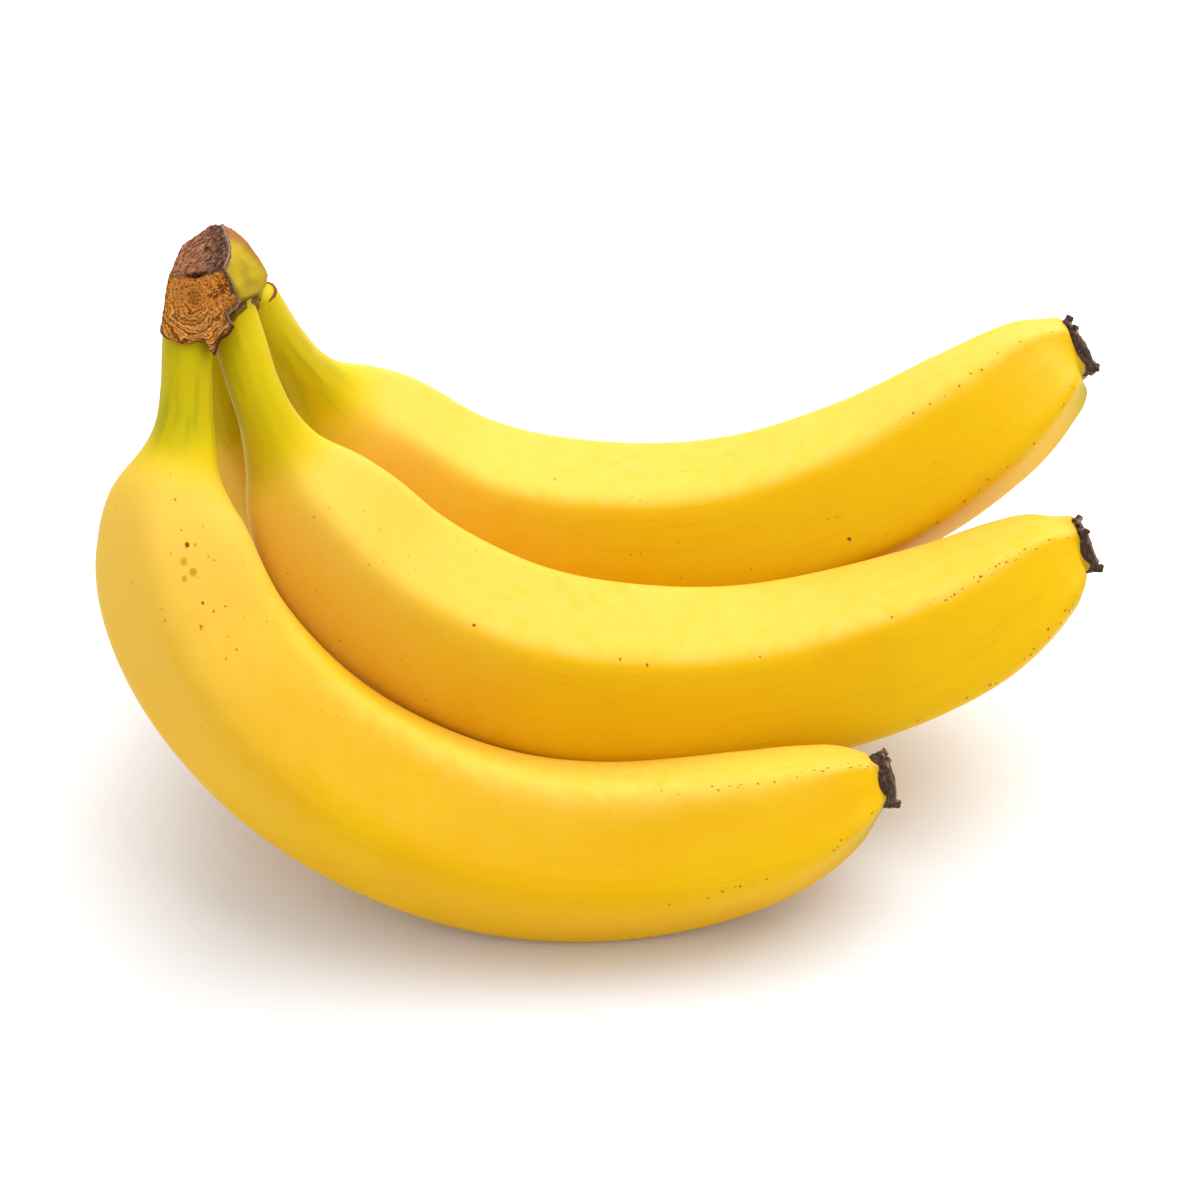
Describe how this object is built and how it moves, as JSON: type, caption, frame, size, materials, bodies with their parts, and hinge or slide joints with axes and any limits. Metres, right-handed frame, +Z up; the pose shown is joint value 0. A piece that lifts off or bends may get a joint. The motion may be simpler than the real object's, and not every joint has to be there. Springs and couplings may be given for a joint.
{
  "type": "bunch of bananas",
  "caption": "Bunch of ripe yellow bananas lying on a flat surface, joined at a cut brown crown, with green necks and dry flower ends.",
  "frame": {"origin": "on the surface the bunch lies on, below the centre of its bounding box", "axes": "+X toward the flower ends, along the bunch's longest side; +Y away from the side seen first; +Z up from the surface"},
  "size_m": [0.2112, 0.1412, 0.1222],
  "materials": {
    "ripe_skin": "smooth waxy yellow peel, green at the neck, with fine brown specks",
    "crown_skin": "smooth yellow-green peel with a brown edge",
    "crown_cork": "dry fibrous cut face, golden brown in front and dark brown on top",
    "withered": "dry dark brown crinkled flower remains"
  },
  "bodies": {
    "root": {"banana_front": "ripe_skin", "banana_middle": "ripe_skin", "banana_back": "ripe_skin", "banana_under": "ripe_skin", "flower_end_front": "withered", "flower_end_middle": "withered", "flower_end_back": "withered", "flower_end_under": "withered", "crown_skin": "crown_skin", "crown_cut": "crown_cork"}
  },
  "joints": []
}
